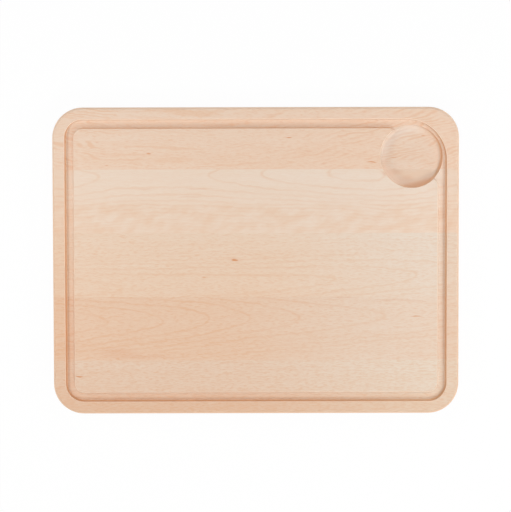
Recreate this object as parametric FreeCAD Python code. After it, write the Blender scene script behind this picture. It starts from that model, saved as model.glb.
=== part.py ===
import FreeCAD, Part
import math
import os

# Serving board of edge-glued beech staves, with a juice groove and a round well.
# Millimetres. The origin is the middle of the underside and +Z is up.
# The grain and the glue lines run along X, and the rear edge is at +Y.

# Finished board
BOARD_LENGTH = 400.0
BOARD_DEPTH = 302.0
BOARD_THICKNESS = 20.0
CORNER_RADIUS = 30.0
TOP_EDGE_RADIUS = 3.0
UNDER_EDGE_RADIUS = 3.0

# Staves, counted from the rear edge. The front one takes the width that is left.
REAR_STAVE_WIDTH = 61.0
STAVE_WIDTH = 62.7
NARROWEST_STAVE = 20.0

# Juice groove, upright walls that run round into a flat floor.
# The turn radii are those of its centreline, and the wide turn passes outside the well.
GROOVE_INSET = 12.0
GROOVE_WIDTH = 9.0
GROOVE_DEPTH = 5.0
GROOVE_FLOOR_RADIUS = 2.5
GROOVE_TURN_RADIUS = 13.5
GROOVE_WIDE_TURN_RADIUS = 35.5

# Round well in the rear right corner, which the groove drains into
WELL_RADIUS = 31.0
WELL_DEPTH = 9.5
WELL_FLOOR_RADIUS = 4.0
WELL_SIDE_INSET = 46.6
WELL_REAR_INSET = 48.5

# How far short of the well's centre each arm of the groove starts its turn into it
SIDE_MOUTH_LEAD = 30.0
REAR_MOUTH_LEAD = 23.1

# Small chamfer that takes the sharpness off the rims of the groove and the well
ARRIS_WIDTH = 0.4

# How far cutters and dividing blocks stand clear of the board
CLEARANCE = 2.0

# Points nearer to a plane than this lie on it
ON_PLANE = 0.001

UP = FreeCAD.Vector(0, 0, 1)
WELL_CENTRE = FreeCAD.Vector(
    BOARD_LENGTH / 2 - WELL_SIDE_INSET,
    BOARD_DEPTH / 2 - WELL_REAR_INSET,
    BOARD_THICKNESS,
)
GROOVE_HALF_LENGTH = BOARD_LENGTH / 2 - GROOVE_INSET - GROOVE_WIDTH / 2
GROOVE_HALF_DEPTH = BOARD_DEPTH / 2 - GROOVE_INSET - GROOVE_WIDTH / 2


def straight(start, end):
    """A straight edge between two points."""
    return Part.LineSegment(start, end).toShape()


def quarter_turn(centre, radius, first_angle):
    """A quarter circle in plan, anticlockwise from first_angle in degrees."""
    points = []
    for angle in (first_angle, first_angle + 45, first_angle + 90):
        spoke = FreeCAD.Vector(math.cos(math.radians(angle)), math.sin(math.radians(angle)), 0)
        points.append(centre + spoke * radius)
    return Part.Arc(*points).toShape()


def start_of(edge):
    """First point of an edge."""
    return edge.valueAt(edge.FirstParameter)


def end_of(edge):
    """Last point of an edge."""
    return edge.valueAt(edge.LastParameter)


def rounded_rectangle(half_length, half_depth, height, radii):
    """Edges of a round-cornered rectangle, anticlockwise from the rear right corner."""
    turns = []
    for place, (right, rear) in enumerate(((1, 1), (-1, 1), (-1, -1), (1, -1))):
        radius = radii[place]
        centre = FreeCAD.Vector(right * (half_length - radius), rear * (half_depth - radius), height)
        turns.append(quarter_turn(centre, radius, 90 * place))
    edges = []
    for turn, following in zip(turns, turns[1:] + turns[:1]):
        edges.append(turn)
        edges.append(straight(end_of(turn), start_of(following)))
    return edges


def level_edges(shape, height):
    """Edges of a shape that lie flat at one height."""
    found = []
    for edge in shape.Edges:
        offsets = [abs(point.z - height) for point in (start_of(edge), end_of(edge))]
        if max(offsets) < ON_PLANE:
            found.append(edge)
    return found


def outline_blank():
    """The glued panel, cut to its outline and rounded over along both faces."""
    outline = rounded_rectangle(BOARD_LENGTH / 2, BOARD_DEPTH / 2, 0, [CORNER_RADIUS] * 4)
    blank = Part.Face(Part.Wire(outline)).extrude(UP * BOARD_THICKNESS)
    blank = blank.makeFillet(UNDER_EDGE_RADIUS, level_edges(blank, 0))
    return blank.makeFillet(TOP_EDGE_RADIUS, level_edges(blank, BOARD_THICKNESS))


def hollow_wall(foot, outward, depth, floor_radius):
    """Half a cutter's profile, from the edge of the floor round its corner and up past the rim."""
    slack = floor_radius * (1 - math.sqrt(0.5))
    low = foot - outward * floor_radius - UP * depth
    middle = foot - outward * slack - UP * (depth - slack)
    high = foot - UP * (depth - floor_radius)
    brow = foot - UP * ARRIS_WIDTH
    rim = foot + outward * ARRIS_WIDTH
    return [
        Part.Arc(low, middle, high).toShape(),
        straight(high, brow),
        straight(brow, rim),
        straight(rim, rim + UP * CLEARANCE),
    ]


def groove_section(middle, heading):
    """Face of the groove cutter, standing across its path at a point of the centreline."""
    walls = []
    for side in (1, -1):
        outward = FreeCAD.Vector(-heading.y, heading.x, 0) * side
        foot = middle + outward * (GROOVE_WIDTH / 2)
        walls.append(hollow_wall(foot, outward, GROOVE_DEPTH, GROOVE_FLOOR_RADIUS))
    left, right = walls
    floor = straight(start_of(left[0]), start_of(right[0]))
    lid = straight(end_of(left[-1]), end_of(right[-1]))
    return Part.Face(Part.Wire([floor] + left + [lid] + right[::-1]))


def groove_run(edge):
    """The groove cutter carried along one straight or one turn of its path."""
    section = groove_section(start_of(edge), edge.tangentAt(edge.FirstParameter))
    if isinstance(edge.Curve, Part.Circle):
        turn = math.degrees(edge.LastParameter - edge.FirstParameter)
        return section.revolve(edge.Curve.Center, edge.Curve.Axis, turn)
    return section.extrude(end_of(edge) - start_of(edge))


def groove_loop():
    """Centreline of the groove's main run, parallel to the board's edges."""
    radii = [GROOVE_WIDE_TURN_RADIUS] + [GROOVE_TURN_RADIUS] * 3
    return rounded_rectangle(GROOVE_HALF_LENGTH, GROOVE_HALF_DEPTH, BOARD_THICKNESS, radii)


def side_mouth():
    """Centreline of the right arm's turn into the well."""
    centre = FreeCAD.Vector(
        GROOVE_HALF_LENGTH - GROOVE_TURN_RADIUS, WELL_CENTRE.y - SIDE_MOUTH_LEAD, BOARD_THICKNESS
    )
    turn = quarter_turn(centre, GROOVE_TURN_RADIUS, 0)
    inside = end_of(turn)
    inside.x = WELL_CENTRE.x
    return [turn, straight(end_of(turn), inside)]


def rear_mouth():
    """Centreline of the rear arm's turn into the well."""
    centre = FreeCAD.Vector(
        WELL_CENTRE.x - REAR_MOUTH_LEAD, GROOVE_HALF_DEPTH - GROOVE_TURN_RADIUS, BOARD_THICKNESS
    )
    turn = quarter_turn(centre, GROOVE_TURN_RADIUS, 0)
    inside = start_of(turn)
    inside.y = WELL_CENTRE.y
    return [turn, straight(start_of(turn), inside)]


def well_cutter():
    """The turned shape of the well, a flat floor with a round corner and an upright wall."""
    outward = FreeCAD.Vector(1, 0, 0)
    wall = hollow_wall(WELL_CENTRE + outward * WELL_RADIUS, outward, WELL_DEPTH, WELL_FLOOR_RADIUS)
    bottom = WELL_CENTRE - UP * WELL_DEPTH
    top = WELL_CENTRE + UP * CLEARANCE
    floor = straight(bottom, start_of(wall[0]))
    lid = straight(end_of(wall[-1]), top)
    profile = [floor] + wall + [lid, straight(top, bottom)]
    return Part.Face(Part.Wire(profile)).revolve(WELL_CENTRE, UP, 360)


def machined_board():
    """The whole board with its groove and well."""
    runs = [groove_run(edge) for edge in groove_loop() + side_mouth() + rear_mouth()]
    return outline_blank().cut(well_cutter().fuse(runs)).removeSplitter()


def glue_lines():
    """Y of each glue line, from the rear edge forwards."""
    lines = [BOARD_DEPTH / 2 - REAR_STAVE_WIDTH]
    while lines[-1] - STAVE_WIDTH > NARROWEST_STAVE - BOARD_DEPTH / 2:
        lines.append(lines[-1] - STAVE_WIDTH)
    return lines


def staves(board):
    """The board's staves, divided at the glue lines, from the rear one forwards."""
    beyond = BOARD_DEPTH / 2 + CLEARANCE
    borders = [beyond] + glue_lines() + [-beyond]
    length = BOARD_LENGTH + 2 * CLEARANCE
    height = BOARD_THICKNESS + 2 * CLEARANCE
    pieces = []
    for rear, front in zip(borders, borders[1:]):
        corner = FreeCAD.Vector(-length / 2, front, -CLEARANCE)
        band = Part.makeBox(length, rear - front, height, corner)
        pieces.append(board.common(band).Solids[0])
    return pieces


os.makedirs("parts", exist_ok=True)
for place, stave in enumerate(staves(machined_board()), start=1):
    stave.exportStep(f"parts/stave_{place}.step")
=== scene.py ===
"""Serving board of five edge-glued beech staves, sanded and oiled.

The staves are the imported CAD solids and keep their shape. This file gives each one its wood
and sets the floor, the lamps and the camera. The wood is drawn in millimetres in the board's
own space, so that it runs through each stave and shows as end grain on the ends.
"""

import math
from typing import NamedTuple

import bpy
from bpy.props import FloatProperty, FloatVectorProperty, PointerProperty
from mathutils import Euler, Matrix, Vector


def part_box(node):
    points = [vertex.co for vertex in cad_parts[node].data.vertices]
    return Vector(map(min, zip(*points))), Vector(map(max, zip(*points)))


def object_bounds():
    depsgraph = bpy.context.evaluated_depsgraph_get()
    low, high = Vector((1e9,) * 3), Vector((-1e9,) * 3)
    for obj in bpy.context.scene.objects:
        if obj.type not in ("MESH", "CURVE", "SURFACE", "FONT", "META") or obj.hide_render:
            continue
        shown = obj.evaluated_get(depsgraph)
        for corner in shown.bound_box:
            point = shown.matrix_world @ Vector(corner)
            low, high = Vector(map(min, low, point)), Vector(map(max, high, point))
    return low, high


bl_info = {
    "name": "Beech serving board",
    "version": (1, 0, 0),
    "blender": (4, 5, 0),
    "location": "View3D > Sidebar > Serving board",
    "description": "Gives the packed staves their beech and sets the stage",
    "category": "Material",
}

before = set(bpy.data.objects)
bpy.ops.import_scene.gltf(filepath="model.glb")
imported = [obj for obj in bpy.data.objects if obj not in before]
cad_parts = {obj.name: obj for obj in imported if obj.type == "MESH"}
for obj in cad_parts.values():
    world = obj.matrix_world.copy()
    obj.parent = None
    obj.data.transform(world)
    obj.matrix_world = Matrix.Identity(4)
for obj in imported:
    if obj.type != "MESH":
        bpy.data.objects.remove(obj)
CAD_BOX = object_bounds()

MM = 0.001

# Middle of the board, in metres
BOARD_CENTRE = (CAD_BOX[0] + CAD_BOX[1]) / 2

# Lengths that name no unit are in millimetres, and heights count from the underside
BOARD_TOP = CAD_BOX[1].z / MM
HALF_LENGTH = CAD_BOX[1].x / MM
HALF_DEPTH = CAD_BOX[1].y / MM

# How far in the groove's centreline runs, and the radius of its tight turns
GROOVE_LINE_INSET = 16.5
GROOVE_TURN_RADIUS = 13.5

WELL_RADIUS = 31.0
WELL_DEPTH = 9.5
WELL_SIDE_INSET = 46.6
WELL_REAR_INSET = 48.5
WELL_CENTRE = (
    HALF_LENGTH - WELL_SIDE_INSET,
    HALF_DEPTH - WELL_REAR_INSET,
    BOARD_TOP - WELL_DEPTH,
)

# Between these distances outside the groove's centreline, the painted light and shade of the
# hollows end and the tones of the ends and edges start
EDGE_START = (7.0, 9.0)
# Between these heights, the painted light and shade of the hollows set in, so that the underside
# stays plain
HOLLOWS_START = (4.0, 6.0)
# Upright part of the normal's direction where a surface starts to lean and where it fully does
LEANING = (0.97, 0.7)

# Sides of the well with a painted tone of their own, painted light on the rear and front walls
# and painted shade at the foot of the front wall: its name, where the side lies, how far from
# the well's centre its tone starts and is full, and its share
WELL_SIDES = (
    ("rear_wall_light", (-0.62, 0.78, 0.0), (10.0, 22.0), 0.5),
    ("front_wall_light", (-0.2, -0.98, 0.0), (10.0, 22.0), 0.6),
    ("foot_shade", (0.25, -0.97, 0.0), (23.0, 28.0), 0.75),
)

# Direction from the board to its front and end lamps. Sideways, it turns from one end lamp to
# the other within this distance of the middle. Sides of the hollows that face away from it get
# painted shade.
LAMPS_SIDEWAYS = 0.56
LAMPS_FORWARDS = -0.46
LAMPS_UPWARDS = 0.7
LAMPS_TURN = 100.0

# Noise is turned about this axis and by this angle in radians, so that its own grid doesn't
# line up with the board, and it is moved by this much times its seed
NOISE_AXIS = (0.3, 0.5, 0.8)
NOISE_TURN = 0.7
NOISE_STEP = (1.0, 1.7, 2.3)
# Most of the noise lies between these two
NOISE_LOW = 0.35
NOISE_HIGH = 0.65

# Width of the slow sway and of the short ripple, and length and width of the patches in which
# rings wander, rings fade, the colour changes in bands and the fibres lie in leaning waves
SWAY_ACROSS = 34.0
RIPPLE_ACROSS = 5.0
WANDER_PATCH = (60.0, 9.0)
FADING_PATCH = (45.0, 8.0)
BAND_PATCH = (120.0, 5.0)
WAVE_PATCH = (16.0, 7.0)
WAVE_LEAN = math.radians(-28)

# Number of the ring that touches the face above the pith, large enough to keep all others
# above zero
FACE_RING = 100.0
# How far a ring's line reaches from it, in years, at most
LINE_LIMIT = 0.38

# How deep a single mark reaches below the face
MARK_DEPTH = 14.0

WOOD_IOR = 1.48

# Share of plain white in the floor that the camera sees. The rest keeps a soft shadow.
FLOOR_WHITE = 0.96

# Softboxes as (name, place in metres from the board's centre, width, height, share of the lamps)
SOFTBOXES = (
    ("Left softbox", (-0.48, 0.0, 0.42), 0.5, 0.13, 0.27),
    ("Right softbox", (0.48, 0.0, 0.42), 0.5, 0.13, 0.28),
    ("Front softbox", (0.2, -0.75, 0.82), 0.8, 0.25, 0.35),
    ("Rear softbox", (0.0, 0.62, 0.58), 0.7, 0.3, 0.13),
)
# Watts of a softbox that gives the full light from 1 m straight above
FULL_LIGHT = 10.0

# Place of the camera in metres, and its angles in degrees, which make the board's four corners
# fall as in the photo
CAMERA_PLACE = (0.00063, 0.04212, 1.21754)
CAMERA_ANGLES = (-1.7877, 0.0424, -0.1301)
SENSOR_WIDTH = 36.0


def linear(code):
    """Linear red, green and blue of an sRGB hex colour."""
    shares = [int(code[place : place + 2], 16) / 255 for place in (1, 3, 5)]
    return tuple(s / 12.92 if s <= 0.04045 else ((s + 0.055) / 1.055) ** 2.4 for s in shares)


def length(name, description, millimetres):
    """A length that a user can change, given in millimetres."""
    return FloatProperty(
        name=name,
        description=description,
        default=millimetres * MM,
        min=0.0,
        unit="LENGTH",
        precision=4,
    )


def colour(name, description, code):
    """A colour that a user can change, given as an sRGB hex code."""
    return FloatVectorProperty(
        name=name,
        description=description,
        default=linear(code),
        subtype="COLOR",
        size=3,
        min=0.0,
        max=1.0,
    )


class Figure(NamedTuple):
    """How one stave was cut from the log, and the marks on its top face."""

    # How far below the top face the pith runs, and where, as (x, y)
    pith_depth: float
    pith_line: tuple
    # Which growth ring the face touches above the pith, as (x, ring)
    ring_line: tuple
    # How clearly the rings show, as (x, strength)
    ring_strength: tuple
    # How clearly the dashes and the leaning patches show
    pore_strength: float
    mottle_strength: float
    # Where the colour starts and ends its turn from the left tone to the right one
    tone_turn: tuple
    # Deeper colour along the rear and the front edge of the stave
    edge_depth: tuple
    # Single marks, as (x, y, half length, half width, strength)
    marks: tuple
    # Growth of one year, measured out from the pith
    ring_width: float = 2.4
    # How far the rings wander from an even spacing, in rings
    ring_wobble: float = 0.0
    # How much of a ring line is left where it fades, and where it doesn't
    ring_fading: tuple = (0.65, 1.15)
    # How much more the rings show on the end grain
    end_strength: float = 1.6
    # How much more the rings show on the turned floor of the well, and how much deeper its
    # colour is
    well_strength: float = 0.0
    well_depth: float = 0.0
    # Share of the rim tint outside the groove
    rim_depth: float = 1.0


FIGURES = {
    "stave_1": Figure(
        pith_depth=60.0,
        pith_line=(
            (-200, 208),
            (-178, 204),
            (-135, 194),
            (0, 196),
            (67, 210),
            (124, 224),
            (200, 246),
        ),
        ring_line=((-200, 0.0), (200, 0.6)),
        ring_width=3.3,
        well_strength=0.5,
        well_depth=-0.12,
        end_strength=0.3,
        ring_wobble=0.35,
        ring_fading=(0.1, 1.5),
        ring_strength=((-200, 3.0), (-150, 2.8), (-125, 1.0), (60, 1.0), (120, 2.0), (200, 2.2)),
        pore_strength=1.0,
        mottle_strength=0.2,
        tone_turn=(-120.0, 150.0),
        edge_depth=(0.0, 0.1),
        rim_depth=0.0,
        marks=(
            (-155.7, 116.9, 1.8, 0.6, 0.35),
            (-105.0, 104.8, 2.8, 0.75, 0.8),
            (-146.4, 93.3, 2.0, 0.6, 0.5),
            (-52.3, 106.6, 2.0, 0.6, 0.25),
            (33.0, 121.0, 3.2, 0.7, 0.9),
            (51.0, 107.0, 5.0, 0.8, 0.2),
            (67.0, 96.0, 5.0, 0.8, 0.2),
            (113.9, 96.9, 5.8, 0.8, 0.8),
            (165.5, 122.4, 3.0, 0.8, 1.0),
            (137.0, 102.0, 5.5, 0.9, 0.7),
        ),
    ),
    "stave_2": Figure(
        pith_depth=42.0,
        pith_line=(
            (-200, 81),
            (-154, 82.4),
            (-47, 84),
            (6, 86),
            (72.5, 87.4),
            (127, 85),
            (200, 82),
        ),
        ring_line=(
            (-200, -1.5),
            (-178, -1.35),
            (-154, -1.0),
            (-125, -0.6),
            (-70, -0.65),
            (-46, -1.0),
            (6, -2.0),
            (72, -3.0),
            (100, -3.25),
            (127, -3.0),
            (178, -1.6),
            (200, -1.2),
        ),
        well_strength=-0.45,
        well_depth=0.7,
        ring_strength=((-200, 0.8), (200, 0.8)),
        pore_strength=0.35,
        mottle_strength=1.0,
        tone_turn=(-60.0, 120.0),
        edge_depth=(0.0, 0.1),
        marks=(
            (-109.0, 70.6, 11.0, 0.9, 0.2),
            (-59.0, 70.2, 12.0, 0.9, 0.2),
            (-63.0, 62.6, 15.0, 1.0, 0.2),
            (136.0, 87.0, 13.0, 5.0, 0.5),
            (149.0, 80.0, 13.0, 5.0, 0.5),
        ),
    ),
    "stave_3": Figure(
        pith_depth=35.0,
        pith_line=((-200, -28), (-132, -27), (0, -23), (78, -18), (158, -14.5), (200, -13)),
        ring_line=((-200, -0.6), (-132, 0.0), (-27, 0.45), (78, 1.0), (158, 2.0), (200, 2.6)),
        ring_strength=((-200, 0.7), (200, 0.8)),
        pore_strength=1.15,
        mottle_strength=0.15,
        tone_turn=(-20.0, 190.0),
        edge_depth=(0.0, 0.2),
        marks=(
            (-20.6, 0.8, 3.8, 1.1, 1.3),
            (-20.6, 0.8, 9.0, 3.0, 0.15),
            (-51.2, -17.4, 2.4, 0.7, 0.4),
        ),
    ),
    "stave_4": Figure(
        pith_depth=42.0,
        pith_line=(
            (-200, -62),
            (-146, -60.3),
            (-46, -57.5),
            (0, -56.5),
            (43, -56.5),
            (127, -53),
            (200, -50),
        ),
        ring_line=(
            (-200, -0.9),
            (-146, 0.0),
            (-92, 1.0),
            (-46, 2.0),
            (-6, 3.0),
            (43, 4.0),
            (127, 5.0),
            (200, 5.8),
        ),
        ring_strength=((-200, 0.85), (200, 0.9)),
        pore_strength=1.2,
        mottle_strength=0.15,
        tone_turn=(-60.0, 150.0),
        edge_depth=(0.1, 0.15),
        marks=(
            (158.0, -53.5, 5.8, 0.9, 0.7),
            (86.0, -35.9, 18.0, 0.7, 0.3),
            (141.0, -38.5, 36.0, 1.2, 0.16),
            (-136.0, -90.5, 20.0, 5.5, 0.16),
            (-118.0, -94.5, 42.0, 2.6, 0.2),
        ),
    ),
    "stave_5": Figure(
        pith_depth=48.0,
        pith_line=((-200, -42), (0, -38), (200, -44)),
        ring_line=((-200, 0.0), (0, 0.8), (200, 0.0)),
        ring_strength=((-200, 0.9), (200, 0.9)),
        pore_strength=1.75,
        mottle_strength=0.25,
        tone_turn=(-40.0, 190.0),
        edge_depth=(0.0, 0.3),
        marks=((-174.8, -113.6, 4.4, 0.8, 1.0),),
    ),
}


class BoardWood(bpy.types.PropertyGroup):
    """Sizes and colours of the beech."""

    stave_1_left: colour("Rear stave, left", "Tone at the rear stave's left end", "#EAD3BF")
    stave_1_right: colour("Rear stave, right", "Tone at the rear stave's right end", "#E8CFBA")
    stave_2_left: colour("Second stave, left", "Tone at the second stave's left end", "#E9D6C4")
    stave_2_right: colour("Second stave, right", "Tone at the second stave's right end", "#E7D6C6")
    stave_3_left: colour("Middle stave, left", "Tone at the middle stave's left end", "#E6D0BB")
    stave_3_right: colour("Middle stave, right", "Tone at the middle stave's right end", "#E2D5C7")
    stave_4_left: colour("Fourth stave, left", "Tone at the fourth stave's left end", "#E3C7AF")
    stave_4_right: colour("Fourth stave, right", "Tone at the fourth stave's right end", "#E1CFBE")
    stave_5_left: colour("Front stave, left", "Tone at the front stave's left end", "#E1C9B4")
    stave_5_right: colour("Front stave, right", "Tone at the front stave's right end", "#E0D2C2")
    grain_tint: colour("Grain tint", "What the rings and fibres multiply the tone by", "#F9E7D8")
    mark_tint: colour("Mark tint", "What the single dark marks multiply the tone by", "#EBB98F")
    end_tint: colour("End grain tint", "What the end grain multiplies the tone by", "#F0DCC8")
    shade_tint: colour("Shade tint", "What the hollows' shaded sides multiply the tone by", "#F8E0CA")
    # Painted light on the board's rounded edges, which makes them paler
    edge_light_tone: colour("Edge tone", "Tone of the board's rounded edges", "#F7D5B7")
    # Painted highlight on the upper rims of the groove and the well
    lip_highlight: colour("Lip tone", "Tone of the upper rim of the groove and the well", "#FFE8D2")
    # Painted light on the well's rear left and front walls, and painted shade at the foot of its
    # front wall
    rear_wall_light: colour("Rear tone", "Tone of the well's rear left wall", "#ECDED1")
    front_wall_light: colour("Front tone", "Tone of the well's front wall", "#FFE2CB")
    foot_shade: colour("Foot tone", "Tone at the foot of the well's front wall", "#E8B48C")
    # Painted shade that makes the well's floor a little cooler and darker
    well_floor_shade: colour("Well tint", "What the well's turned floor multiplies the tone by", "#F8FCFF")
    rim_tint: colour("Rim tint", "What the rim outside the groove multiplies the tone by", "#FDF6F0")
    sway_length: length("Sway length", "Length along the board of one sway of the grain", 90.0)
    sway_width: length("Sway width", "How far the grain sways to either side", 1.4)
    ripple_length: length("Ripple length", "Length of one short wave in the fibres", 9.0)
    ripple_width: length("Ripple width", "How far the fibres wave to either side", 0.4)
    line_width: length("Ring line width", "Width on the surface of the line that ends a year", 3.2)
    ray_height: length("Ray height", "Height of a ray, which lies along the grain", 3.0)
    ray_width: length("Ray width", "Thickness of a ray", 0.35)
    pore_length: length("Pore length", "Length of a dark dash along the grain", 5.0)
    pore_width: length("Pore width", "Width of a dark dash along the grain", 0.72)
    fibre_length: length("Fibre length", "Length of a fine streak in the wood", 14.0)
    fibre_width: length("Fibre width", "Width of a fine streak in the wood", 0.9)
    relief: length("Relief", "How deep the dashes sink below the sanded face", 0.05)
    roughness: FloatProperty(
        name="Roughness",
        description="Roughness of the oiled face",
        default=0.5,
        min=0.0,
        max=1.0,
    )


class BoardStage(bpy.types.PropertyGroup):
    """Floor, lamps and camera."""

    floor_tone: colour("Floor", "Colour of the plain pale floor", "#F7F7F7")
    floor_width: length("Floor width", "Width of the floor", 12000.0)
    lamp_level: FloatProperty(
        name="Lamp level",
        description="Share of the lamps in the light on the board",
        default=0.7,
        min=0.0,
    )
    sky_level: FloatProperty(
        name="Sky level",
        description="Strength of the even light from all round",
        default=0.34,
        min=0.0,
    )
    focal_length: FloatProperty(
        name="Focal length",
        description="Focal length of the camera",
        default=85.6,
        unit="CAMERA",
    )


def add_node(tree, kind, settings=None, inputs=None):
    """Adds a node, sets its options, and fills its inputs with values or links."""
    node = tree.nodes.new(kind)
    for name, value in (settings or {}).items():
        setattr(node, name, value)
    for name, value in (inputs or {}).items():
        if isinstance(value, bpy.types.NodeSocket):
            tree.links.new(value, node.inputs[name])
        else:
            node.inputs[name].default_value = value
    return node


def product(tree, *factors):
    """Product of several sockets and numbers."""
    total = factors[0]
    for factor in factors[1:]:
        total = add_node(
            tree, "ShaderNodeMath", {"operation": "MULTIPLY"}, {0: total, 1: factor}
        ).outputs[0]
    return total


def weighted_sum(tree, parts):
    """Sum of (socket, weight) pairs."""
    total = 0.0
    for socket, weight in parts:
        total = add_node(
            tree, "ShaderNodeMath", {"operation": "MULTIPLY_ADD"}, {0: socket, 1: weight, 2: total}
        ).outputs[0]
    return total


def tinted(tree, tone, tint, share):
    """A tone multiplied by a tint, by the given share of it."""
    return add_node(
        tree,
        "ShaderNodeMix",
        {"data_type": "RGBA", "blend_type": "MULTIPLY"},
        {0: share, 6: tone, 7: (*tint, 1.0)},
    ).outputs[2]


def blended(tree, tone, other, share):
    """A tone turned into another one, by the given share."""
    return add_node(
        tree, "ShaderNodeMix", {"data_type": "RGBA"}, {0: share, 6: tone, 7: (*other, 1.0)}
    ).outputs[2]


def where(tree, *steps):
    """1 where every value is past its step, 0 where one is short of it, and smooth between.

    A step is (socket, start, end). Where its end is the lower one, the value has to fall past it.
    """
    shares = []
    for value, start, end in steps:
        step = add_node(
            tree,
            "ShaderNodeMapRange",
            {"interpolation_type": "SMOOTHSTEP"},
            {0: value, 1: start, 2: end},
        )
        shares.append(step.outputs[0])
    return product(tree, *shares)


def curve_along(tree, along, points):
    """A smooth value along the board, through points of (x, value)."""
    low = min(value for _, value in points)
    high = max(value for _, value in points)
    # A level line still needs some height to be drawn in
    spread = max(high - low, 0.001)
    share = add_node(
        tree, "ShaderNodeMapRange", None, {0: along, 1: -HALF_LENGTH, 2: HALF_LENGTH}
    )
    curve = add_node(tree, "ShaderNodeFloatCurve", None, {1: share.outputs[0]})
    line = curve.mapping.curves[0]
    places = [
        ((x + HALF_LENGTH) / (2 * HALF_LENGTH), (value - low) / spread) for x, value in points
    ]
    line.points[0].location = places[0]
    line.points[1].location = places[-1]
    for place in places[1:-1]:
        line.points.new(*place)
    curve.mapping.update()
    return add_node(
        tree,
        "ShaderNodeMath",
        {"operation": "MULTIPLY_ADD"},
        {0: curve.outputs[0], 1: spread, 2: low},
    ).outputs[0]


def noise_along(tree, position, run, width, seed, detail=0.0):
    """Noise from 0 to 1 around a half, with features of the given length and width."""
    stretched = add_node(
        tree,
        "ShaderNodeVectorMath",
        {"operation": "MULTIPLY_ADD"},
        {
            0: position,
            1: (1 / run, 1 / width, 1 / width),
            2: [seed * step for step in NOISE_STEP],
        },
    )
    turned = add_node(
        tree,
        "ShaderNodeVectorRotate",
        {"rotation_type": "AXIS_ANGLE"},
        {0: stretched.outputs[0], 2: NOISE_AXIS, 3: NOISE_TURN},
    )
    return add_node(
        tree,
        "ShaderNodeTexNoise",
        None,
        {"Vector": turned.outputs[0], "Scale": 1.0, "Detail": detail},
    ).outputs[0]


def streaks(tree, grain, run, width, seed, faint=0.3, full=0.7, detail=2.0):
    """Soft streaks along the grain, of the given length and width.

    They start where the noise passes the faint level, and are strongest from the full level on.
    """
    noise = noise_along(tree, grain, run, width, seed, detail)
    return add_node(tree, "ShaderNodeMapRange", None, {0: noise, 1: faint, 2: full}).outputs[0]


class Place(NamedTuple):
    """Sockets that say where a point of the surface lies on the board, and how it faces."""

    position: bpy.types.NodeSocket
    x: bpy.types.NodeSocket
    y: bpy.types.NodeSocket
    z: bpy.types.NodeSocket
    # Distance outside the groove's centreline, below zero inside it
    outside: bpy.types.NodeSocket
    normal: bpy.types.NodeSocket
    upward: bpy.types.NodeSocket
    # How squarely it faces either end, and how squarely up or down
    endways: bpy.types.NodeSocket
    level: bpy.types.NodeSocket


def place_on_board(tree):
    """Finds where a point of the surface lies and how it faces."""
    source = add_node(tree, "ShaderNodeTexCoord")
    normal = source.outputs["Normal"]
    position = add_node(
        tree,
        "ShaderNodeVectorMath",
        {"operation": "SCALE"},
        {0: source.outputs["Object"], 3: 1 / MM},
    ).outputs[0]
    spot = add_node(tree, "ShaderNodeSeparateXYZ", None, {0: position})
    facing = add_node(tree, "ShaderNodeSeparateXYZ", None, {0: normal})
    either_way = add_node(tree, "ShaderNodeVectorMath", {"operation": "ABSOLUTE"}, {0: normal})
    either_way = add_node(tree, "ShaderNodeSeparateXYZ", None, {0: either_way.outputs[0]})
    return Place(
        position=position,
        x=spot.outputs[0],
        y=spot.outputs[1],
        z=spot.outputs[2],
        outside=beyond_groove(tree, position),
        normal=normal,
        upward=facing.outputs[2],
        endways=either_way.outputs[0],
        level=either_way.outputs[2],
    )


def beyond_groove(tree, position):
    """Distance outside the groove's centreline, below zero inside it."""
    mirrored = add_node(tree, "ShaderNodeVectorMath", {"operation": "ABSOLUTE"}, {0: position})
    inset = GROOVE_LINE_INSET + GROOVE_TURN_RADIUS
    # The corner is put up high, so that the height of a point adds nothing
    corner = (HALF_LENGTH - inset, HALF_DEPTH - inset, 2 * BOARD_TOP)
    past = add_node(
        tree, "ShaderNodeVectorMath", {"operation": "SUBTRACT"}, {0: mirrored.outputs[0], 1: corner}
    )
    clipped = add_node(
        tree, "ShaderNodeVectorMath", {"operation": "MAXIMUM"}, {0: past.outputs[0], 1: (0, 0, 0)}
    )
    reach = add_node(tree, "ShaderNodeVectorMath", {"operation": "LENGTH"}, {0: clipped.outputs[0]})
    return add_node(
        tree,
        "ShaderNodeMath",
        {"operation": "SUBTRACT"},
        {0: reach.outputs["Value"], 1: GROOVE_TURN_RADIUS},
    ).outputs[0]


def swaying_grain(tree, position, wood, seed):
    """Position with the grain's sway taken out, so that the fibres run along X.

    A slow sway bends the figure, and a short ripple gives the fibres their fine waves.
    """
    sway = noise_along(tree, position, wood.sway_length / MM, SWAY_ACROSS, seed, detail=2.0)
    ripple = noise_along(tree, position, wood.ripple_length / MM, RIPPLE_ACROSS, seed + 5)
    # Noise keeps within about a sixth of its middle, so a sway needs six times its width
    bend = weighted_sum(
        tree, ((sway, 6 * wood.sway_width / MM), (ripple, 6 * wood.ripple_width / MM))
    )
    sideways = add_node(tree, "ShaderNodeCombineXYZ", None, {1: bend})
    middle = 3 * (wood.sway_width + wood.ripple_width) / MM
    moved = add_node(
        tree, "ShaderNodeVectorMath", {"operation": "ADD"}, {0: position, 1: sideways.outputs[0]}
    )
    return add_node(
        tree,
        "ShaderNodeVectorMath",
        {"operation": "SUBTRACT"},
        {0: moved.outputs[0], 1: (0, middle, 0)},
    ).outputs[0]


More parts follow.
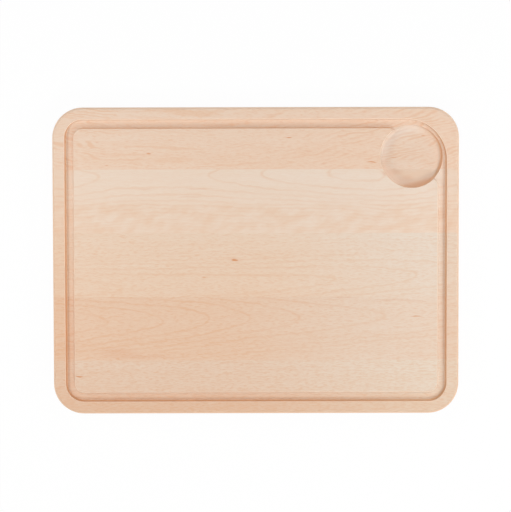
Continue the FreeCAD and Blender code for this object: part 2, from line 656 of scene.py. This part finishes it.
def spoke_in_log(tree, grain, figure):
    """How far a point lay along the log, and the spoke to it from the pith."""
    parts = add_node(tree, "ShaderNodeSeparateXYZ", None, {0: grain})
    pith = curve_along(tree, parts.outputs[0], figure.pith_line)
    side = add_node(
        tree, "ShaderNodeMath", {"operation": "SUBTRACT"}, {0: parts.outputs[1], 1: pith}
    )
    height = add_node(
        tree,
        "ShaderNodeMath",
        {"operation": "ADD"},
        {0: parts.outputs[2], 1: figure.pith_depth - BOARD_TOP},
    )
    spoke = add_node(
        tree, "ShaderNodeCombineXYZ", None, {1: side.outputs[0], 2: height.outputs[0]}
    )
    return parts.outputs[0], spoke.outputs[0]


def ring_count(tree, along, spoke, grain, figure, seed):
    """Number of the growth ring at a point, with the share of its year that has passed."""
    first = curve_along(tree, along, figure.ring_line)
    out = add_node(tree, "ShaderNodeVectorMath", {"operation": "LENGTH"}, {0: spoke})
    years = add_node(
        tree,
        "ShaderNodeMath",
        {"operation": "MULTIPLY_ADD"},
        {
            0: out.outputs["Value"],
            1: 1 / figure.ring_width,
            2: FACE_RING - figure.pith_depth / figure.ring_width,
        },
    )
    count = add_node(
        tree, "ShaderNodeMath", {"operation": "ADD"}, {0: years.outputs[0], 1: first}
    ).outputs[0]
    if not figure.ring_wobble:
        return count
    wander = add_node(
        tree,
        "ShaderNodeMapRange",
        {"clamp": False},
        {
            0: noise_along(tree, grain, *WANDER_PATCH, seed + 4),
            1: NOISE_LOW,
            2: NOISE_HIGH,
            3: -figure.ring_wobble,
            4: figure.ring_wobble,
        },
    )
    return add_node(
        tree, "ShaderNodeMath", {"operation": "ADD"}, {0: count, 1: wander.outputs[0]}
    ).outputs[0]


def ring_pace(tree, spoke, normal, figure):
    """How many rings a millimetre of the surface crosses."""
    # How fast the ring that the face touches changes along the board, at most
    drift = max(
        abs(b[1] - a[1]) / (b[0] - a[0]) for a, b in zip(figure.ring_line, figure.ring_line[1:])
    )
    outward = add_node(tree, "ShaderNodeVectorMath", {"operation": "NORMALIZE"}, {0: spoke})
    growth = add_node(
        tree,
        "ShaderNodeVectorMath",
        {"operation": "MULTIPLY_ADD"},
        {0: outward.outputs[0], 1: [1 / figure.ring_width] * 3, 2: (drift, 0.0, 0.0)},
    )
    across = add_node(
        tree,
        "ShaderNodeVectorMath",
        {"operation": "CROSS_PRODUCT"},
        {0: growth.outputs[0], 1: normal},
    )
    return add_node(
        tree, "ShaderNodeVectorMath", {"operation": "LENGTH"}, {0: across.outputs[0]}
    ).outputs["Value"]


def line_strength(tree, along, count, pace, grain, figure, seed):
    """How strong the line of the nearest growth ring is."""
    year = add_node(tree, "ShaderNodeMath", {"operation": "ROUND"}, {0: count}).outputs[0]
    chance = add_node(
        tree, "ShaderNodeTexWhiteNoise", {"noise_dimensions": "1D"}, {"W": year}
    )
    chance = add_node(tree, "ShaderNodeMapRange", None, {0: chance.outputs[0], 3: 0.2, 4: 1.0})
    # The years that end in arcs on the face are the clear ones
    on_face = where(tree, (year, FACE_RING + 8.0, FACE_RING + 3.0))
    weight = add_node(
        tree, "ShaderNodeMath", {"operation": "MAXIMUM"}, {0: chance.outputs[0], 1: on_face}
    )
    crowding = add_node(
        tree, "ShaderNodeMapRange", None, {0: pace, 1: 0.12, 2: 0.38, 3: 1.0, 4: 0.4}
    )
    faint, clear = figure.ring_fading
    fading = add_node(
        tree,
        "ShaderNodeMapRange",
        None,
        {
            0: noise_along(tree, grain, *FADING_PATCH, seed + 9),
            1: NOISE_LOW,
            2: NOISE_HIGH,
            3: faint,
            4: clear,
        },
    )
    strength = curve_along(tree, along, figure.ring_strength)
    return product(tree, weight.outputs[0], crowding.outputs[0], fading.outputs[0], strength)


def growth_rings(tree, along, spoke, normal, grain, figure, wood, seed):
    """Thin darker lines where each year's growth ended, some years stronger than others.

    The rings pass slowly where the face lies along them, so the distance to the nearest one is
    measured on the surface, and each line keeps its width. Lines that crowd together are fainter.
    """
    count = ring_count(tree, along, spoke, grain, figure, seed)
    pace = ring_pace(tree, spoke, normal, figure)
    from_ring = add_node(tree, "ShaderNodeMath", {"operation": "PINGPONG"}, {0: count, 1: 0.5})
    distance = add_node(
        tree, "ShaderNodeMath", {"operation": "DIVIDE"}, {0: from_ring.outputs[0], 1: pace}
    )
    half_line = 0.5 * wood.line_width / MM
    reach = add_node(
        tree, "ShaderNodeMath", {"operation": "DIVIDE"}, {0: distance.outputs[0], 1: half_line}
    )
    # Where the rings crowd, a line takes up three quarters of its year at most
    share = add_node(
        tree, "ShaderNodeMath", {"operation": "DIVIDE"}, {0: from_ring.outputs[0], 1: LINE_LIMIT}
    )
    away = add_node(
        tree, "ShaderNodeMath", {"operation": "MAXIMUM"}, {0: reach.outputs[0], 1: share.outputs[0]}
    )
    line = where(tree, (away.outputs[0], 1.0, 0.0))
    return product(tree, line, line_strength(tree, along, count, pace, grain, figure, seed))


def rays(tree, along, spoke, figure, wood):
    """Rays, thin sheets that run out from the pith: dashes on top, fine spokes on the end grain."""
    parts = add_node(tree, "ShaderNodeSeparateXYZ", None, {0: spoke})
    out = add_node(tree, "ShaderNodeVectorMath", {"operation": "LENGTH"}, {0: spoke})
    angle = add_node(
        tree, "ShaderNodeMath", {"operation": "ARCTAN2"}, {0: parts.outputs[1], 1: parts.outputs[2]}
    )
    place = add_node(
        tree, "ShaderNodeCombineXYZ", None, {0: along, 1: angle.outputs[0], 2: out.outputs["Value"]}
    )
    # A ray fills a little under half of its cell each way, and is drawn wider than it is, so
    # that it shows
    cell_height = 2.2 * wood.ray_height / MM
    cell_angle = 4.0 * wood.ray_width / MM / figure.pith_depth
    cell_run = 30.0
    cells = add_node(
        tree,
        "ShaderNodeVectorMath",
        {"operation": "MULTIPLY"},
        {0: place.outputs[0], 1: (1 / cell_height, 1 / cell_angle, 1 / cell_run)},
    )
    scatter = add_node(
        tree, "ShaderNodeTexVoronoi", None, {"Vector": cells.outputs[0], "Scale": 1.0}
    )
    shape = add_node(
        tree, "ShaderNodeMapRange", None, {0: scatter.outputs["Distance"], 1: 0.32, 2: 0.12}
    )
    lot = add_node(tree, "ShaderNodeSeparateXYZ", None, {0: scatter.outputs["Color"]})
    return product(tree, shape.outputs[0], lot.outputs[0])


def mottle(tree, place, rear_edge, seed):
    """Soft patches that lean across the grain, where the fibres lie in waves.

    They show most towards the front of a stave, and set in some way from its rear edge.
    """
    turned = add_node(
        tree,
        "ShaderNodeVectorRotate",
        {"rotation_type": "Z_AXIS"},
        {0: place.position, 3: WAVE_LEAN},
    )
    patches = streaks(
        tree, turned.outputs[0], *WAVE_PATCH, seed, faint=0.35, full=0.7, detail=1.0
    )
    return product(tree, patches, where(tree, (place.y, rear_edge - 28.0, rear_edge - 42.0)))


def single_marks(tree, grain, marks):
    """The dark marks that stand alone on a stave's top face."""
    total = 0.0
    for x, y, half_length, half_width, strength in marks:
        scale = (1 / half_length, 1 / half_width, 1 / MARK_DEPTH)
        offset = [-part * share for part, share in zip((x, y, BOARD_TOP), scale)]
        near = add_node(
            tree,
            "ShaderNodeVectorMath",
            {"operation": "MULTIPLY_ADD"},
            {0: grain, 1: scale, 2: offset},
        )
        away = add_node(tree, "ShaderNodeVectorMath", {"operation": "LENGTH"}, {0: near.outputs[0]})
        mark = add_node(
            tree,
            "ShaderNodeMapRange",
            {"interpolation_type": "SMOOTHSTEP"},
            {0: away.outputs["Value"], 1: 1.25, 2: 0.25, 3: 0.0, 4: strength},
        )
        total = add_node(
            tree, "ShaderNodeMath", {"operation": "MAXIMUM"}, {0: total, 1: mark.outputs[0]}
        ).outputs[0]
    return total


def well_floor(tree, position):
    """1 on the floor of the well and 0 away from it."""
    # Half the size of a flattened ball that takes in the floor
    half_size = (WELL_RADIUS + 1.0, WELL_RADIUS + 1.0, 5.0)
    near = add_node(
        tree,
        "ShaderNodeVectorMath",
        {"operation": "MULTIPLY_ADD"},
        {
            0: position,
            1: [1 / size for size in half_size],
            2: [-part / size for part, size in zip(WELL_CENTRE, half_size)],
        },
    )
    away = add_node(tree, "ShaderNodeVectorMath", {"operation": "LENGTH"}, {0: near.outputs[0]})
    return where(tree, (away.outputs["Value"], 1.05, 0.7))


def well_side(tree, place, direction, reach):
    """1 where the well's floor turns up into its wall, on the side that lies in a direction."""
    # The painted light and shade of the well's sides are laid where this is 1
    offset = add_node(
        tree, "ShaderNodeVectorMath", {"operation": "SUBTRACT"}, {0: place.position, 1: WELL_CENTRE}
    )
    flat = add_node(
        tree,
        "ShaderNodeVectorMath",
        {"operation": "MULTIPLY"},
        {0: offset.outputs[0], 1: (1, 1, 0)},
    )
    distance = add_node(tree, "ShaderNodeVectorMath", {"operation": "LENGTH"}, {0: flat.outputs[0]})
    forward = add_node(
        tree,
        "ShaderNodeVectorMath",
        {"operation": "DOT_PRODUCT"},
        {0: flat.outputs[0], 1: direction},
    )
    return where(
        tree,
        (forward.outputs["Value"], *reach),
        (distance.outputs["Value"], WELL_RADIUS - 12.0, WELL_RADIUS - 5.0),
        (distance.outputs["Value"], WELL_RADIUS + 0.4, WELL_RADIUS),
        (place.z, BOARD_TOP - 1.0, BOARD_TOP - 4.0),
        (place.z, *HOLLOWS_START),
    )


def painted_shade_sides(tree, place):
    """1 on the sides of the groove and the well that face away from the front and end lamps.

    Most of the light there has come off the wood once before, so they look warmer, and that warmth
    is painted here as shade through the shade tint.
    """
    sideways = add_node(
        tree,
        "ShaderNodeMapRange",
        None,
        {0: place.x, 1: -LAMPS_TURN, 2: LAMPS_TURN, 3: -LAMPS_SIDEWAYS, 4: LAMPS_SIDEWAYS},
    )
    lamps = add_node(
        tree,
        "ShaderNodeCombineXYZ",
        None,
        {0: sideways.outputs[0], 1: LAMPS_FORWARDS, 2: LAMPS_UPWARDS},
    )
    facing = add_node(
        tree,
        "ShaderNodeVectorMath",
        {"operation": "DOT_PRODUCT"},
        {0: place.normal, 1: lamps.outputs[0]},
    )
    return where(
        tree,
        (facing.outputs["Value"], 0.52, 0.1),
        (place.z, BOARD_TOP - 1.2, BOARD_TOP - 3.0),
        (place.z, *HOLLOWS_START),
        (place.outside, *reversed(EDGE_START)),
    )


def painted_light_and_shade(tree, tone, place, wood):
    """A tone with those of the rounded edges, and of the rims and sides of the hollows."""
    # Painted light on the rounded edges outside the groove
    rounded = where(
        tree, (place.level, *LEANING), (place.level, 0.0, 0.4), (place.outside, 9.0, 11.0)
    )
    tone = blended(tree, tone, wood.edge_light_tone, product(tree, rounded, 0.8))
    # Painted highlight on the upper rims of the groove and the well
    lip = where(
        tree,
        (place.level, *LEANING),
        (place.z, BOARD_TOP - 2.8, BOARD_TOP - 0.8),
        (place.outside, *reversed(EDGE_START)),
    )
    tone = blended(tree, tone, wood.lip_highlight, product(tree, lip, 0.9))
    # Painted warm shade on the sides of the hollows that face away from the lamps
    tone = tinted(tree, tone, wood.shade_tint, painted_shade_sides(tree, place))
    # Painted light on the well's rear and front walls, and painted shade at the foot of its front
    # wall
    for side, direction, reach, share in WELL_SIDES:
        there = well_side(tree, place, direction, reach)
        tone = blended(tree, tone, getattr(wood, side), product(tree, there, share))
    return tone


def oiled_beech(name, figure, wood, seed):
    """Beech, planed, sanded fine and wiped with oil.

    To the eye it is pale and even, with a satin sheen, faint ring lines and short dark dashes.
    """
    material = bpy.data.materials.new(f"Oiled beech {name}")
    material.use_nodes = True
    tree = material.node_tree
    tree.nodes.clear()
    place = place_on_board(tree)
    grain = swaying_grain(tree, place.position, wood, seed)
    along, spoke = spoke_in_log(tree, grain, figure)
    rings = growth_rings(tree, along, spoke, place.normal, grain, figure, wood, seed)
    # Open vessels leave the dashes. The real ones are finer than a pixel, and so are the
    # fibres, so both are drawn as wide as they need to show.
    dashes = streaks(
        tree, grain, wood.pore_length / MM, wood.pore_width / MM, seed, faint=0.48, full=0.72
    )
    fibres = streaks(tree, grain, wood.fibre_length / MM, wood.fibre_width / MM, seed + 2)
    front, rear = (corner.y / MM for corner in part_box(name))
    rear_depth, front_depth = figure.edge_depth
    edges = add_node(
        tree,
        "ShaderNodeMapRange",
        None,
        {0: place.y, 1: rear, 2: front, 3: rear_depth, 4: front_depth},
    ).outputs[0]
    # The well is turned, and its floor shows the rings otherwise than the planed faces do
    in_well = well_floor(tree, place.position)
    end = where(tree, (place.endways, 0.7, 1.0), (place.outside, *EDGE_START))
    depth = weighted_sum(
        tree,
        (
            (rings, 0.55),
            (product(tree, rings, in_well), figure.well_strength),
            (in_well, figure.well_depth),
            (product(tree, rings, end), figure.end_strength),
            (rays(tree, along, spoke, figure, wood), 0.15 * figure.pore_strength),
            (dashes, 0.62 * figure.pore_strength),
            (fibres, 0.22),
            (streaks(tree, grain, *BAND_PATCH, seed + 7), 0.17),
            (mottle(tree, place, rear, seed + 3), 0.45 * figure.mottle_strength),
            (edges, 1.0),
        ),
    )
    left = (*getattr(wood, f"{name}_left"), 1.0)
    right = getattr(wood, f"{name}_right")
    tone = blended(tree, left, right, where(tree, (along, *figure.tone_turn)))
    tone = tinted(tree, tone, wood.grain_tint, depth)
    tone = tinted(tree, tone, wood.mark_tint, single_marks(tree, grain, figure.marks))
    tone = tinted(tree, tone, wood.end_tint, end)
    tone = painted_light_and_shade(tree, tone, place, wood)
    # Painted shade on the well's floor, a little cooler and darker
    tone = tinted(tree, tone, wood.well_floor_shade, in_well)
    # The underside, which faces straight down, keeps clear of the rim's tint
    rim = where(tree, (place.outside, -3.0, 3.0), (place.upward, -0.95, -0.4))
    tone = tinted(tree, tone, wood.rim_tint, product(tree, rim, figure.rim_depth))
    bump = add_node(
        tree,
        "ShaderNodeBump",
        None,
        {
            "Strength": 1.0,
            "Distance": wood.relief,
            "Height": weighted_sum(tree, ((fibres, -0.3), (dashes, -1.0))),
        },
    )
    surface = add_node(
        tree,
        "ShaderNodeBsdfPrincipled",
        None,
        {
            "Base Color": tone,
            "Roughness": wood.roughness,
            "IOR": WOOD_IOR,
            "Normal": bump.outputs[0],
        },
    )
    add_node(tree, "ShaderNodeOutputMaterial", None, {0: surface.outputs[0]})
    return material


class BOARD_OT_staves(bpy.types.Operator):
    """Gives each stave its own length of oiled beech"""

    bl_idname = "board.staves"
    bl_label = "Beech staves"

    def execute(self, context):
        wood = context.scene.board_wood
        for seed, (name, figure) in enumerate(FIGURES.items(), start=1):
            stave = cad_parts[name]
            stave.material_slots[0].material = oiled_beech(name, figure, wood, 11.3 * seed)
        return {"FINISHED"}


class BOARD_OT_stage(bpy.types.Operator):
    """Sets the floor, the soft lamps, the even light and the camera"""

    bl_idname = "board.stage"
    bl_label = "Stage"

    def execute(self, context):
        stage = context.scene.board_stage
        lay_floor(stage)
        light_sky(stage)
        hang_lamps(stage)
        place_camera(stage)
        context.scene.view_settings.view_transform = "Standard"
        return {"FINISHED"}


def lay_floor(stage):
    """Plain pale floor that reads as white and keeps the board's soft shadow."""
    bpy.ops.mesh.primitive_plane_add(size=stage.floor_width, location=(0.0, 0.0, 0.0))
    floor = bpy.context.object
    floor.name = "Floor"
    material = bpy.data.materials.new("Matt white paper")
    material.use_nodes = True
    tree = material.node_tree
    tree.nodes.clear()
    paper = add_node(tree, "ShaderNodeBsdfDiffuse", None, {0: (*stage.floor_tone, 1.0)})
    glow = add_node(tree, "ShaderNodeEmission", None, {0: (1.0, 1.0, 1.0, 1.0), 1: 1.0})
    ray = add_node(tree, "ShaderNodeLightPath")
    share = product(tree, ray.outputs["Is Camera Ray"], FLOOR_WHITE)
    mixed = add_node(
        tree, "ShaderNodeMixShader", None, {0: share, 1: paper.outputs[0], 2: glow.outputs[0]}
    )
    add_node(tree, "ShaderNodeOutputMaterial", None, {0: mixed.outputs[0]})
    floor.data.materials.append(material)


def light_sky(stage):
    """Even light from all round, which looks plain white to the camera and in reflections."""
    world = bpy.data.worlds.new("Soft room")
    bpy.context.scene.world = world
    world.use_nodes = True
    tree = world.node_tree
    tree.nodes.clear()
    ray = add_node(tree, "ShaderNodeLightPath")
    seen = add_node(
        tree,
        "ShaderNodeMath",
        {"operation": "MAXIMUM"},
        {0: ray.outputs["Is Camera Ray"], 1: ray.outputs["Is Glossy Ray"]},
    )
    seen = add_node(
        tree,
        "ShaderNodeMath",
        {"operation": "MAXIMUM"},
        {0: seen.outputs[0], 1: ray.outputs["Is Transmission Ray"]},
    )
    level = add_node(
        tree, "ShaderNodeMapRange", None, {0: seen.outputs[0], 3: stage.sky_level, 4: 1.0}
    )
    sky = add_node(
        tree, "ShaderNodeBackground", None, {0: (1.0, 1.0, 1.0, 1.0), 1: level.outputs[0]}
    )
    add_node(tree, "ShaderNodeOutputWorld", None, {0: sky.outputs[0]})


def hang_lamps(stage):
    """Softboxes on all four sides, aimed at the board."""
    for name, place, width, height, share in SOFTBOXES:
        place = Vector(place)
        light = bpy.data.lights.new(name, "AREA")
        light.shape = "RECTANGLE"
        light.size = width
        light.size_y = height
        # Light thins with the square of the distance, and again where it lands at a slant
        light.energy = share * stage.lamp_level * FULL_LIGHT * place.length**3 / place.z
        lamp = bpy.data.objects.new(name, light)
        lamp.location = BOARD_CENTRE + place
        lamp.rotation_euler = (-place).to_track_quat("-Z", "Y").to_euler()
        bpy.context.scene.collection.objects.link(lamp)


def place_camera(stage):
    """Looks almost straight down from above the board, as the photo does."""
    camera = bpy.data.cameras.new("Camera")
    camera.lens = stage.focal_length
    camera.sensor_width = SENSOR_WIDTH
    eye = bpy.data.objects.new("Camera", camera)
    eye.location = CAMERA_PLACE
    eye.rotation_euler = Euler([math.radians(angle) for angle in CAMERA_ANGLES])
    bpy.context.scene.collection.objects.link(eye)
    bpy.context.scene.camera = eye


class BOARD_PT_panel(bpy.types.Panel):
    """Lists the board's operators, sizes and colours"""

    bl_idname = "BOARD_PT_panel"
    bl_label = "Serving board"
    bl_space_type = "VIEW_3D"
    bl_region_type = "UI"
    bl_category = "Serving board"

    def draw(self, context):
        for operator in OPERATORS:
            self.layout.operator(operator.bl_idname)
        for group in (context.scene.board_wood, context.scene.board_stage):
            for name in group.__annotations__:
                self.layout.prop(group, name)


OPERATORS = (BOARD_OT_staves, BOARD_OT_stage)
CLASSES = (BoardWood, BoardStage, *OPERATORS, BOARD_PT_panel)


def register():
    """Registers the classes and hangs the settings on the scene."""
    for kind in CLASSES:
        bpy.utils.register_class(kind)
    bpy.types.Scene.board_wood = PointerProperty(type=BoardWood)
    bpy.types.Scene.board_stage = PointerProperty(type=BoardStage)


def unregister():
    """Takes the settings and the classes away again."""
    del bpy.types.Scene.board_stage
    del bpy.types.Scene.board_wood
    for kind in reversed(CLASSES):
        bpy.utils.unregister_class(kind)


def main():
    """Dresses the board and sets the stage."""
    register()
    bpy.ops.board.staves()
    bpy.ops.board.stage()


if __name__ == "__main__":
    main()
